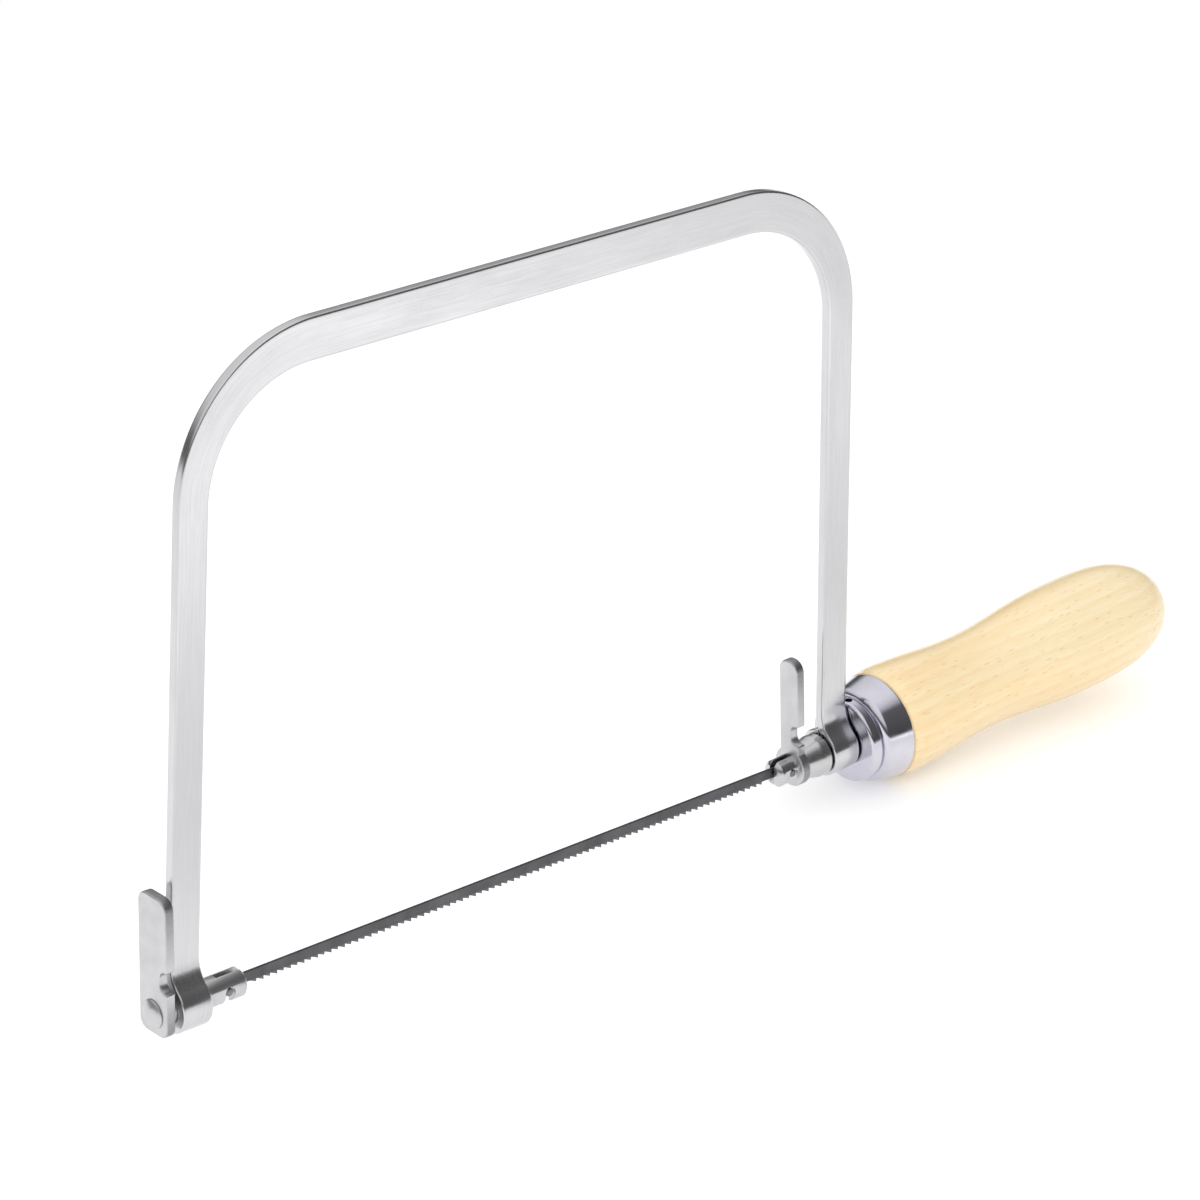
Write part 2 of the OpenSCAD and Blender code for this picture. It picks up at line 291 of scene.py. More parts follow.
def rounded_profile(corners, radii, steps, support=0.0):
    """Replaces each corner of a closed line of points by an arc of its radius.

    The arc leaves the corner's two sides at the distance r / tan(half the corner's angle),
    and its points turn evenly from one side to the other. support adds a point on each side,
    that far from the arc, which keeps the shading of the flats flat."""
    p = np.asarray(corners, float)
    r = np.asarray(radii, float)
    u, v = unit(np.roll(p, 1, axis=0) - p), unit(np.roll(p, -1, axis=0) - p)
    half = np.arccos(np.clip((u * v).sum(1), -1, 1)) / 2
    straight = (half > np.radians(89.5)) | (r <= 0)
    bent = np.where(straight, 1, half)
    tangent = np.where(straight, 0, r / np.tan(bent))
    centre = p + unit(u + v) * np.where(straight, 0, r / np.sin(bent))[:, None]
    t = np.linspace(0, 1, steps)[None, :, None]
    start, end = p + u * tangent[:, None], p + v * tangent[:, None]
    a, b = (start - centre)[:, None], (end - centre)[:, None]
    turn = (np.pi - 2 * half)[:, None, None]
    weight = np.where(np.abs(np.sin(turn)) < 1e-6, 1, np.sin(turn))
    arcs = centre[:, None] + (np.sin((1 - t) * turn) * a + np.sin(t * turn) * b) / weight
    arcs = np.where(straight[:, None, None], p[:, None], arcs)
    if support:
        gap = np.where(straight, 0, support)[:, None]
        arcs = np.concatenate([(start + u * gap)[:, None], arcs, (end + v * gap)[:, None]], axis=1)
    points = arcs.reshape(-1, 2)
    keep = np.ones(len(points), bool)
    keep[1:] = np.linalg.norm(np.diff(points, axis=0), axis=1) > 1e-6
    return points[keep]


def turned_ring(name, corners, radii, steps, support, segments=128, sharp=40):
    """A ring turned round the rear axis: a closed section whose corners are rounded."""
    profile = rounded_profile(corners, radii, steps, support)
    return grid_piece(name, turned(profile, at_rear, segments), loop=True, sharp=sharp)


def apply_modifiers(obj):
    """Makes what the object's modifiers show its own mesh, drops them, and closes up the
    slivers that a cut leaves."""
    graph = bpy.context.evaluated_depsgraph_get()
    made = bpy.data.meshes.new_from_object(obj.evaluated_get(graph))
    obj.modifiers.clear()
    old = obj.data
    obj.data = made
    bpy.data.meshes.remove(old)
    clean(made, SLIVER, SLIVER)


def cut(obj, *cutters):
    """Cuts closed pieces out of a closed piece, and deletes them."""
    for cutter in cutters:
        step = obj.modifiers.new("cut", "BOOLEAN")
        step.operation = "DIFFERENCE"
        step.solver = "EXACT"
        step.object = cutter
    bpy.context.view_layer.update()
    apply_modifiers(obj)
    for cutter in cutters:
        bpy.data.objects.remove(cutter)


def soften(obj, width, angle=35):
    """Bevels the sharp edges of a cut piece by width, in millimetres."""
    step = obj.modifiers.new("soften", "BEVEL")
    step.width = width * MM
    step.segments = 2
    step.limit_method = "ANGLE"
    step.angle_limit = math.radians(angle)
    step.harden_normals = False
    apply_modifiers(obj)
    obj.data.shade_smooth()
    obj.data.set_sharp_from_angle(angle=math.radians(angle))
    return obj


def hand_over(obj, body, slot, material, *nodes):
    """Gives a piece its body, finish and the solids that it stands for."""
    obj.data.materials.clear()
    obj.data.materials.append(material)
    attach(obj, body)
    if nodes:
        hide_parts(*nodes)


# Materials


def hex_colour(text):
    """An sRGB hex value as the linear colour that Blender's sockets take."""
    value = [int(text[i : i + 2], 16) / 255 for i in (0, 2, 4)]
    linear = [c / 12.92 if c <= 0.04045 else ((c + 0.055) / 1.055) ** 2.4 for c in value]
    return (*linear, 1.0)


def shade(colour, share):
    """A linear colour darkened to a share of itself."""
    return (*(c * share for c in colour[:3]), 1.0)


def grey(value):
    """A grey of one linear value."""
    return (value, value, value, 1.0)


def greys(stops):
    """A ramp's stops from pairs of place and linear value."""
    return [(place, grey(value)) for place, value in stops]


def add_node(tree, kind, inputs=None, stops=(), blend="LINEAR", **settings):
    """Adds a node and returns its outputs. kind is its type's name after ShaderNode, inputs
    are socket values or the sockets to link, and settings are the node's own values. stops
    are a colour ramp's places and colours, and blend is how it runs between them."""
    made = tree.nodes.new("ShaderNode" + kind)
    for _ in stops[2:]:
        made.color_ramp.elements.new(0.5)
    for i, (place, colour) in enumerate(stops):
        made.color_ramp.elements[i].position = place
        made.color_ramp.elements[i].color = colour
        made.color_ramp.interpolation = blend
    for name, value in settings.items():
        setattr(made, name, value)
    for name, value in (inputs or {}).items():
        if isinstance(value, bpy.types.NodeSocket):
            tree.links.new(value, made.inputs[name])
        else:
            made.inputs[name].default_value = value
    return made.outputs


def new_nodes(owner):
    """Empties a material's or world's node tree; returns add_node for that tree."""
    owner.use_nodes = True
    owner.node_tree.nodes.clear()
    return partial(add_node, owner.node_tree)


def new_material(name):
    """An empty node material, and add_node for its tree."""
    material = bpy.data.materials.new(name)
    return material, new_nodes(material)


# A Mix node's settings where it multiplies one colour by a share of another
MULTIPLIED = {"data_type": "RGBA", "blend_type": "MULTIPLY"}


def along(node, turn=0.0, stretch=(1.0, 1.0, 1.0)):
    """Object coordinates in millimetres, turned about Y onto an axis and then stretched."""
    place = node("TexCoord")["Object"]
    level = node(
        "Mapping", {"Vector": place, "Rotation": (0.0, turn, 0.0), "Scale": (1 / MM,) * 3}
    )["Vector"]
    return node("Mapping", {"Vector": level, "Scale": stretch})["Vector"]


def straightened(node, stretch):
    """The bow's own coordinates in millimetres, as if its bar were straight: X runs along
    the bar, Y across its width and Z through it."""
    place = node("Attribute", attribute_name="straight_bar")["Vector"]
    return node("Mapping", {"Vector": place, "Scale": stretch})["Vector"]


def worn_surface(node, wear, wear_span, rough_span, marks, strength, depth):
    """A surface's roughness and normal: the roughness runs over rough_span while wear runs
    over wear_span, and the marks are depth millimetres deep."""
    (fresh, worn), (smooth, rough) = wear_span, rough_span
    roughness = node(
        "MapRange",
        {"Value": wear, "From Min": fresh, "From Max": worn, "To Min": smooth, "To Max": rough},
    )["Result"]
    bump = {"Strength": strength, "Distance": depth * MM, "Height": marks}
    return roughness, node("Bump", bump)["Normal"]


def metal_shader(node, colour, roughness, normal):
    """The shader that all the saw's metals share, joined to the output."""
    shader = node(
        "BsdfPrincipled",
        {"Base Color": colour, "Metallic": 1.0, "Roughness": roughness, "Normal": normal},
    )
    node("OutputMaterial", {"Surface": shader["BSDF"]})


def drawn_nickel_plate(look):
    """Cold drawn bar under bright nickel: nearly a mirror, broken by fine lines that follow
    the bar round its bends, about 0.2 mm apart, and by faint clouds a few millimetres wide
    where hands have dulled the plate."""
    material, node = new_material("bright_nickel_on_drawn_bar")
    colour = hex_colour(look.bow_hex)
    handled, lengthwise = (straightened(node, (share, 1.0, 1.0)) for share in (0.35, 0.02))
    cloud = node(
        "TexNoise", {"Vector": handled, "Scale": 0.16, "Detail": 4.0, "Roughness": 0.55}
    )["Fac"]
    drawn = node(
        "TexNoise", {"Vector": lengthwise, "Scale": 4.5, "Detail": 3.0, "Roughness": 0.6}
    )["Fac"]
    mixed = node("Math", {0: drawn, 1: 0.8, 2: cloud}, operation="MULTIPLY_ADD")[0]
    tint = node("ValToRGB", {"Fac": cloud}, [(0.35, colour), (0.75, shade(colour, 0.955))])["Color"]
    streak = node("ValToRGB", {"Fac": drawn}, greys([(0.35, 1.0), (0.75, 0.93)]))
    tint = node("Mix", {"Factor": 1.0, "A": tint, "B": streak["Color"]}, **MULTIPLIED)["Result"]
    surface = worn_surface(node, mixed, (0.6, 1.2), (0.17, 0.30), drawn, 0.2, 0.006)
    metal_shader(node, tint, *surface)
    return material


def zinc_plate(name, look, tumbled, sheared=False, peened=False):
    """Small steel parts, tumbled and zinc plated: a satin grey with short scuffs that run
    every way, clouded in patches a few millimetres wide.

    tumbled is the depth of the scuffs, in millimetres. sheared darkens and tears the stamped
    edges, and peened adds shallow hammer marks on the front spigot's outer end."""
    material, node = new_material(name)
    colour = hex_colour(look.steel_hex)
    plain, grain = along(node), along(node, 0.0, (0.2, 1.0, 1.0))
    cloud = node(
        "TexNoise", {"Vector": plain, "Scale": 0.22, "Detail": 4.0, "Roughness": 0.6}
    )["Fac"]
    scuff = node(
        "TexNoise",
        {"Vector": grain, "Scale": 5.0, "Detail": 3.0, "Roughness": 0.6, "Distortion": 0.6},
    )["Fac"]
    mixed = node("Math", {0: scuff, 1: 0.45, 2: cloud}, operation="MULTIPLY_ADD")[0]
    tint = node("ValToRGB", {"Fac": cloud}, [(0.35, colour), (0.75, shade(colour, 0.92))])["Color"]
    roughness, normal = worn_surface(node, mixed, (0.45, 1.0), (0.27, 0.42), scuff, 0.35, tumbled)
    if sheared:
        edge = node("Attribute", attribute_name="sheared")["Fac"]
        bare = hex_colour(look.sheared_hex)
        grain = along(node, 0.0, (0.3, 3.0, 3.0))
        tear = node(
            "TexNoise", {"Vector": grain, "Scale": 2.5, "Detail": 3.0, "Roughness": 0.6}
        )["Fac"]
        torn = node("ValToRGB", {"Fac": tear}, [(0.4, bare), (0.7, shade(bare, 0.75))])["Color"]
        tint = node("Mix", {"Factor": edge, "A": tint, "B": torn}, data_type="RGBA")["Result"]
        roughness = node("Math", {0: edge, 1: 0.12, 2: roughness}, operation="MULTIPLY_ADD")[0]
        bump = {"Strength": 0.3, "Distance": 0.05 * MM, "Height": tear, "Normal": normal}
        normal = node("Bump", bump)["Normal"]
    if peened:
        place = node("SeparateXYZ", {"Vector": plain})["X"]
        outer = S.front_pin + S.front_lever_out
        end = node(
            "MapRange", {"Value": place, "From Min": outer + 0.1, "From Max": outer - 0.2}
        )["Result"]
        dents = {"Vector": plain, "Scale": 0.9, "Smoothness": 0.6}
        marks = node("TexVoronoi", dents, feature="SMOOTH_F1")["Distance"]
        depth = node("Math", {0: end, 1: marks}, operation="MULTIPLY")[0]
        bump = {"Strength": 0.3, "Distance": 0.1 * MM, "Height": depth, "Normal": normal}
        normal = node("Bump", bump)["Normal"]
    metal_shader(node, tint, roughness, normal)
    return material


def turned_metal(name, colour, shine, dull, ring, depth):
    """Turned and plated metal on the rear axis: fine tool marks ring millimetres apart run
    round the axis, and the plate is clouded a little. shine is the roughness of the clean
    plate, dull that of the clouds, and depth the depth of the marks in millimetres."""
    material, node = new_material(name)
    plain, round_axis = along(node, S.rise), along(node, S.rise, (1.0, 0.02, 0.02))
    cloud = node(
        "TexNoise", {"Vector": plain, "Scale": 0.25, "Detail": 4.0, "Roughness": 0.6}
    )["Fac"]
    across = node(
        "TexNoise", {"Vector": round_axis, "Scale": 1.0 / ring, "Detail": 2.0, "Roughness": 0.5}
    )["Fac"]
    tint = node("ValToRGB", {"Fac": cloud}, [(0.3, colour), (0.8, shade(colour, 0.92))])["Color"]
    surface = worn_surface(node, cloud, (0.3, 0.8), (shine, dull), across, 0.3, depth)
    metal_shader(node, tint, *surface)
    return material


def drawn_wire():
    """Bare drawn steel wire: darker than the plate, with fine lines along the wire."""
    material, node = new_material("bare_drawn_wire")
    colour = hex_colour("8A8A8C")
    wire = along(node, 0.0, (1.0, 0.1, 1.0))
    drawn = node("TexNoise", {"Vector": wire, "Scale": 6.0, "Detail": 2.0, "Roughness": 0.6})["Fac"]
    tint = node("ValToRGB", {"Fac": drawn}, [(0.35, colour), (0.75, shade(colour, 0.8))])["Color"]
    surface = worn_surface(node, drawn, (0.3, 0.7), (0.32, 0.48), drawn, 0.3, 0.01)
    metal_shader(node, tint, *surface)
    return material


def tempered_blade_steel(look):
    """Hardened and tempered strip steel, cold rolled: dark grey with a soft sheen, long
    rolling lines and bare brighter metal where the teeth were ground."""
    material, node = new_material("tempered_blade_steel")
    plain, rolled = along(node), along(node, 0.0, (0.03, 1.0, 1.0))
    lines = node(
        "TexNoise", {"Vector": rolled, "Scale": 4.0, "Detail": 3.0, "Roughness": 0.6}
    )["Fac"]
    cloud = node(
        "TexNoise", {"Vector": plain, "Scale": 0.12, "Detail": 3.0, "Roughness": 0.6}
    )["Fac"]
    height = node("SeparateXYZ", {"Vector": plain})["Z"]
    tooth_line, blur = S.tooth_depth - S.throat_h - S.blade_w / 2, 0.15
    ground = node(
        "MapRange", {"Value": height, "From Min": tooth_line + blur, "From Max": tooth_line - blur}
    )["Result"]
    shades = [(0.3, hex_colour(look.blade_hex)), (0.75, hex_colour(look.blade_cloud_hex))]
    dark = node("ValToRGB", {"Fac": cloud}, shades)["Color"]
    teeth = {"Factor": ground, "A": dark, "B": hex_colour(look.tooth_hex)}
    colour = node("Mix", teeth, data_type="RGBA")["Result"]
    surface = worn_surface(node, lines, (0.3, 0.7), (0.32, 0.46), lines, 0.3, 0.02)
    metal_shader(node, colour, *surface)
    return material


def lacquered_beech(look):
    """Turned beech under clear lacquer: pale straw wood whose growth rings, a few
    millimetres apart, run along the handle, with the short dark ray flecks that mark beech
    and a smooth glossy coat."""
    material, node = new_material("lacquered_beech")
    heart_y, heart_z = 31.0, S.throat_h + 58.0
    heart = node(
        "Mapping", {"Vector": along(node, S.rise), "Location": (0.0, heart_y, heart_z)}
    )["Vector"]
    broad, fine, short = (
        along(node, S.rise, (share, 1.0, 1.0)) for share in (0.25, 0.03, 0.22)
    )
    wander = node(
        "TexNoise", {"Vector": broad, "Scale": 0.05, "Detail": 3.0, "Roughness": 0.5}
    )["Fac"]
    rings = node(
        "TexWave",
        {
            "Vector": heart,
            "Scale": 0.11,
            "Distortion": 3.2,
            "Detail": 3.0,
            "Detail Scale": 0.035,
            "Detail Roughness": 0.55,
        },
        wave_type="RINGS",
        rings_direction="X",
        wave_profile="SAW",
    )["Fac"]
    fibre = node(
        "TexNoise", {"Vector": fine, "Scale": 2.4, "Detail": 4.0, "Roughness": 0.65}
    )["Fac"]
    fleck_at = node("TexVoronoi", {"Vector": short, "Scale": 0.95})["Distance"]
    fleck = node(
        "MapRange",
        {"Value": fleck_at, "From Min": 0.22, "From Max": 0.12, "To Max": look.fleck_share},
    )["Result"]
    pale, deep = hex_colour(look.beech_hex), hex_colour(look.beech_ring_hex)
    body = node(
        "ValToRGB", {"Fac": rings}, [(0.0, pale), (0.8, deep), (1.0, pale)], blend="EASE"
    )["Color"]
    warm = [(0.35, grey(1.0)), (0.7, hex_colour(look.beech_patch_hex))]
    patch = node("ValToRGB", {"Fac": wander}, warm)["Color"]
    body = node("Mix", {"Factor": 1.0, "A": body, "B": patch}, **MULTIPLIED)["Result"]
    threads = node(
        "ValToRGB", {"Fac": fibre}, [(0.35, grey(1.0)), (0.75, hex_colour("F8EEDC"))]
    )["Color"]
    body = node("Mix", {"Factor": 0.8, "A": body, "B": threads}, **MULTIPLIED)["Result"]
    flecks = {"Factor": fleck, "A": body, "B": hex_colour(look.beech_fleck_hex)}
    body = node("Mix", flecks, data_type="RGBA")["Result"]
    roughness, normal = worn_surface(node, fibre, (0.3, 0.8), (0.42, 0.55), fibre, 0.25, 0.03)
    shader = node(
        "BsdfPrincipled",
        {
            "Base Color": body,
            "Roughness": roughness,
            "IOR": 1.5,
            "Coat Weight": 0.6,
            "Coat Roughness": 0.12,
            "Coat IOR": 1.5,
            "Normal": normal,
        },
    )
    node("OutputMaterial", {"Surface": shader["BSDF"]})
    return material


_finishes = {}


def finish(name):
    """One of the saw's materials, made the first time that it is asked for."""
    look = bpy.context.scene.saw_finish
    makers = {
        "bow": lambda: drawn_nickel_plate(look),
        # Stamped zinc plate: a satin grey face between darker torn edges
        "stamped_lever": lambda: zinc_plate("zinc_plate_stamped", look, 0.02, sheared=True),
        # The same plate on a pin whose end was peened: shallow round dents catch the light
        "peened_spigot": lambda: zinc_plate("zinc_plate_peened", look, 0.015, peened=True),
        # Turned steel under bright nickel: deep reflections with a faint violet cast
        "collar": lambda: turned_metal(
            "bright_nickel_on_turned_steel", hex_colour(look.collar_hex), 0.10, 0.22, 0.25, 0.012
        ),
        # Turned steel under zinc: fine rings that spread the reflections a little
        "turned_steel": lambda: turned_metal(
            "zinc_plate_turned", hex_colour(look.steel_hex), 0.18, 0.34, 0.3, 0.015
        ),
        "blade": lambda: tempered_blade_steel(look),
        "cross_pin": drawn_wire,
        # Turned brass: warm yellow rings inside the handle
        "insert": lambda: turned_metal("turned_brass", hex_colour("D9B36A"), 0.22, 0.36, 0.3, 0.02),
        "handle": lambda: lacquered_beech(look),
    }
    if name not in _finishes:
        _finishes[name] = makers[name]()
    return _finishes[name]


# Settings


def hex_setting(name, description, default):
    """A colour, as an sRGB hex value."""
    return bpy.props.StringProperty(name=name, description=description, default=default)


def number_setting(name, description, default, low, high, **more):
    """A number between two limits."""
    return bpy.props.FloatProperty(
        name=name, description=description, default=default, min=low, max=high, **more
    )


class SawFinish(bpy.types.PropertyGroup):
    """Colours of the saw's finishes, as sRGB hex values."""

    bow_hex: hex_setting("Bow plate", "Colour of the bow's bright plate", "D6D6D8")
    steel_hex: hex_setting("Satin plate", "Colour of the spigots and lever plates", "CDCDCF")
    sheared_hex: hex_setting("Stamped edges", "Colour of the lever plates' edges", "A2A2A5")
    collar_hex: hex_setting("Collar plate", "Colour of the collar and ferrule", "D7D6E1")
    blade_hex: hex_setting("Blade", "Colour of the tempered blade", "68686B")
    blade_cloud_hex: hex_setting("Blade clouding", "Darker patches of the blade", "515154")
    tooth_hex: hex_setting("Ground teeth", "Colour of the ground teeth", "727275")
    beech_hex: hex_setting("Beech", "Colour of the pale wood", "FDEDC8")
    beech_ring_hex: hex_setting("Growth rings", "Colour of the rings' late wood", "FBE7BD")
    beech_patch_hex: hex_setting("Wood patches", "Warmth of the broad patches", "FFF5E6")
    beech_fleck_hex: hex_setting("Ray flecks", "Colour of the short ray flecks", "DDB67C")
    fleck_share: number_setting(
        "Fleck strength", "How strongly the ray flecks show", 0.4, 0.0, 1.0, subtype="FACTOR"
    )


class SawShape(bpy.types.PropertyGroup):
    """Small forms that the solids leave out, in millimetres."""

    bar_round: number_setting("Bar rounding", "Radius of the bow's long edges", 0.45, 0.1, 1.0)
    plate_round: number_setting("Plate rounding", "Radius of the plates' edges", 0.35, 0.1, 0.8)
    tooth_set: number_setting("Tooth set", "How far a tooth leans to its side", 0.12, 0.0, 0.3)
    thread_pitch: number_setting("Thread pitch", "Distance between two turns", 1.0, 0.5, 1.5)


class SawStage(bpy.types.PropertyGroup):
    """Light: the sky and the two lamps."""

    sky: number_setting("Sky", "Strength of the even light", 1.0, 0.0, 2.0)
    key: number_setting("Key", "Power of the soft key lamp", 1.8, 0.0, 10.0, unit="POWER")
    fill: number_setting("Fill", "Power of the soft fill lamp", 1.0, 0.0, 10.0, unit="POWER")


# Pieces


class SawPiece(bpy.types.Operator):
    """Base of the operators that build one piece or a group of like pieces."""

    bl_idname = "saw.piece"
    bl_label = "Piece"
    bl_options = {"REGISTER", "UNDO"}

    def execute(self, context):
        self.build(context.scene.saw_shape)
        return {"FINISHED"}


class SAW_OT_bow(SawPiece):
    """One flat bar, bent twice, with both ends rolled into eyes"""

    bl_idname = "saw.bow"
    bl_label = "Bow"

    @staticmethod
    def section(corner):
        """The bar's section, as the signs of its two directions and the distances in from
        its two half sizes. Each corner is a quarter circle of its own, from one side round
        to the next, with a point beside it that keeps the flats flat."""
        beside = corner + 0.3
        step, lift = rounding(corner, 5)
        quarter = np.stack([[beside, *step, 0.0], [0.0, *lift, beside]], axis=1)
        signs = np.array([[1, 1], [1, -1], [-1, -1], [-1, 1]])
        sides = np.repeat(signs[:, None], len(quarter), axis=1)
        inward = np.stack([quarter, quarter[::-1], quarter, quarter[::-1]])
        return sides.reshape(-1, 2), inward.reshape(-1, 2)

    @staticmethod
    def eye(side, corner):
        """The rolled end's middle line: a circle of the eye's middle radius that leaves the
        near side and turns back along an arc of the hollow's radius, which meets the leg.

        The first rows round the bar's end off: their distance from the end is
        corner (1 - cos a), and they are set in by corner (1 - sin a), for a from 0 to a
        right angle. Returns points, width and thickness directions, widths and insets."""
        hollow = np.array([-S.bar_t / 2 - S.hollow_r, S.hollow_top])
        reach, near = S.eye_r + S.hollow_r, S.hollow_r + S.bar_t + S.roll_gap
        entry = math.atan2(hollow[1], hollow[0])
        roll_end = entry - math.acos((reach**2 + S.eye_r**2 - near**2) / (2 * reach * S.eye_r))
        inward, onward = rounding(corner, 5)
        end = roll_end - onward / S.eye_mid_r
        ring = np.concatenate([end, np.linspace(end[-1], entry - 2 * np.pi, 90)[1:]])
        neck = np.linspace(entry + np.pi, 2 * np.pi, 18)[1:]
        ring_up, neck_up = circle(ring), -circle(neck)
        flat = [S.eye_mid_r * ring_up, hollow - (S.hollow_r + S.bar_t / 2) * neck_up]
        flat, up = np.concatenate(flat), np.concatenate([ring_up, neck_up])
        inset = np.zeros(len(up))
        inset[: len(inward)] = inward
        place, turn = (at_front, FRONT_AXES) if side < 0 else (at_rear, REAR_AXES)
        station = -S.front_reach if side < 0 else S.rear_eye_mid
        points = place(np.column_stack([np.full(len(flat), station), flat]))
        thick = np.column_stack([np.zeros(len(up)), up]) @ turn
        wide = np.tile(np.array([float(side), 0, 0]) @ turn, (len(up), 1))
        return points, wide, thick, np.full(len(up), S.leg_w), inset

    @staticmethod
    def edge(offset, top, r, foot_z):
        """One edge of the bow on the side of positive X: up the leg, which leans in by the
        splay, round a bend of radius r and along the back to the middle."""
        lean, slope = math.cos(S.splay), math.tan(S.splay)
        bend_z = top - r
        bend_x = S.leg_half + (offset - r) / lean - bend_z * slope
        a = np.linspace(S.splay, np.pi / 2, 48)
        bend = np.array([bend_x, bend_z]) + circle(a, r)
        foot = np.array([S.leg_half + offset / lean - foot_z * slope, foot_z])
        leg = foot + (bend[0] - foot) * np.linspace(0, 1, 24)[:, None] ** 1.5
        back = bend[-1] + (np.array([0, top]) - bend[-1]) * np.linspace(0, 1, 16)[:, None]
        return np.concatenate([leg, bend[1:], back[1:]])

    def half(self, side, corner):
        """The bar from a rolled end to the middle of the back: the eye, and then a line that
        runs midway between the bow's outer and inner edge."""
        eye, gap = self.eye(side, corner), 0.5
        foot_z = eye[0][-1, 2] + S.throat_h + gap
        outer_r = S.bend_r + (S.leg_w + S.back_w) / 2
        outer = self.edge(S.leg_w / 2, S.throat_h + S.back_w, outer_r, foot_z)
        inner = self.edge(-S.leg_w / 2, S.throat_h, S.bend_r, foot_z)
        middle, across = (outer + inner) / 2, outer - inner
        width = np.linalg.norm(across, axis=1)
        across = across / width[:, None]
        flat = np.zeros(len(middle))
        points = np.column_stack([side * middle[:, 0], flat, middle[:, 1] - S.throat_h])
        wide = np.column_stack([side * across[:, 0], flat, across[:, 1]])
        thick = np.tile([0.0, -1.0, 0.0], (len(middle), 1))
        bar = points, wide, thick, width, flat
        return [np.concatenate(pair) for pair in zip(eye, bar)]

    def build(self, shape):
        """The section is carried along the line: each point is the line's point plus its
        share of the width and thickness directions. The rear half runs backwards, and there
        the sides change places because its width direction points the other way. The mark
        straight_bar keeps each point's place along, across and through the bar."""
        corner = shape.bar_round
        front, rear = self.half(-1, corner), self.half(1, corner)
        line, wide, thick, width, inset = (
            np.concatenate([a[:-1], b[::-1]]) for a, b in zip(front, rear)
        )
        sides, inward = self.section(corner)
        a = sides[:, 0] * (width[:, None] / 2 - inset[:, None] - inward[:, 0])
        b = sides[:, 1] * (S.bar_t / 2 - inset[:, None] - inward[:, 1])
        grid = line[:, None] + a[..., None] * wide[:, None] + b[..., None] * thick[:, None]
        step = np.linalg.norm(np.diff(line, axis=0), axis=1)
        run = np.broadcast_to(np.concatenate([[0.0], np.cumsum(step)])[:, None], a.shape)
        straight = np.stack([run, a, b], axis=-1)
        obj = grid_piece("bow_bar", grid, caps=True, sharp=50, marks={"straight_bar": straight})
        hand_over(obj, "bow_body", "bright_plate", finish("bow"), "bow")


class SAW_OT_levers(SawPiece):
    """The two lever plates, rounded, with a finger notch in the near edge"""

    bl_idname = "saw.levers"
    bl_label = "Lever plates"

    @staticmethod
    def outline(width, top_r, eye_r, inset):
        """The plate seen along its spigot, set in by inset: a rounded strip with a round
        notch in its near edge. Every corner is an arc, and the inset moves the corners in
        and changes the arcs' radii by as much. Where the strip is narrower than its spigot,
        its foot is a circle of radius eye_r, from one side of the strip round to the other."""
        h = width / 2 - inset
        top, foot = S.lever_h - inset, -S.lever_foot + inset
        low, high = S.notch_h - S.notch_r - inset, S.notch_h + S.notch_r + inset
        deep = -width / 2 + S.notch_r + inset
        lip, root = S.notch_lip_r - inset, S.notch_root_r + inset
        foot_r, round_r = S.lever_foot_r - inset, top_r - inset
        base, base_radii = [[-h, foot], [h, foot]], [foot_r, foot_r]
        if eye_r:
            r = eye_r - inset
            side = math.acos(h / r)
            a = np.linspace(-np.pi - side, side, 49)
            base = circle(a, r).tolist()
            base_radii = [0.0] * len(base)
        corners = [*base, [h, top], [-h, top], [-h, high], [deep, high], [deep, low], [-h, low]]
        radii = [*base_radii, round_r, round_r, lip, root, root, lip]
        return rounded_profile(corners, radii, steps=9)

    def plate(self, name, width, top_r, eye_r, ends, place, r):
        """A plate between two stations with edges of radius r: its outline is carried across
        the thickness and set in along a quarter circle at each face. The mark sheared is 1 on
        the edges, and 0 on the faces and in the notch."""
        low, high = ends
        inset, step = rounding(r, 4)
        x = np.concatenate([low + step, (high - step)[::-1]])
        insets = np.concatenate([inset, inset[::-1]])
        rings = np.stack([self.outline(width, top_r, eye_r, i) for i in insets])
        grid = np.concatenate(
            [np.broadcast_to(x[:, None, None], (*rings.shape[:2], 1)), rings], axis=-1
        )
        obj = grid_piece(name, place(grid), caps=True, sharp=40)
        middle = place(np.array([[(low + high) / 2, 0.0, 0.0]]))[0]
        axis = place(np.array([[1.0, 0.0, 0.0]]))[0] - place(np.zeros((1, 3)))[0]
        points = np.empty(len(obj.data.vertices) * 3)
        obj.data.vertices.foreach_get("co", points)
        off = points.reshape(-1, 3) / MM - middle
        share = np.clip(((high - low) / 2 - np.abs(off @ axis)) / r, 0.0, 1.0)
        beside = 0.5
        notch = np.abs(off[:, 2] - S.notch_h) < S.notch_r + beside
        share[(off[:, 1] < 0) & notch] = 0.0
        sheared = obj.data.attributes.new("sheared", "FLOAT", "POINT")
        sheared.data.foreach_set("value", share)
        return obj

    def build(self, shape):
        edge = shape.plate_round
        ends = S.front_lever_out, S.front_lever_in
        size = S.lever_w, S.lever_top_r, 0.0
        obj = self.plate("front_lever_plate", *size, ends, at_front, edge)
        hand_over(obj, "front_holder", "plated_steel", finish("stamped_lever"), "front_lever")
        ends = S.hub_front - S.lever_t, S.hub_front
        size = S.rear_lever_w, S.rear_lever_top_r, S.spigot_r + S.lever_wall
        obj = self.plate("rear_lever_plate", *size, ends, at_rear, edge)
        hand_over(obj, "rear_holder", "plated_steel", finish("stamped_lever"), "rear_lever")


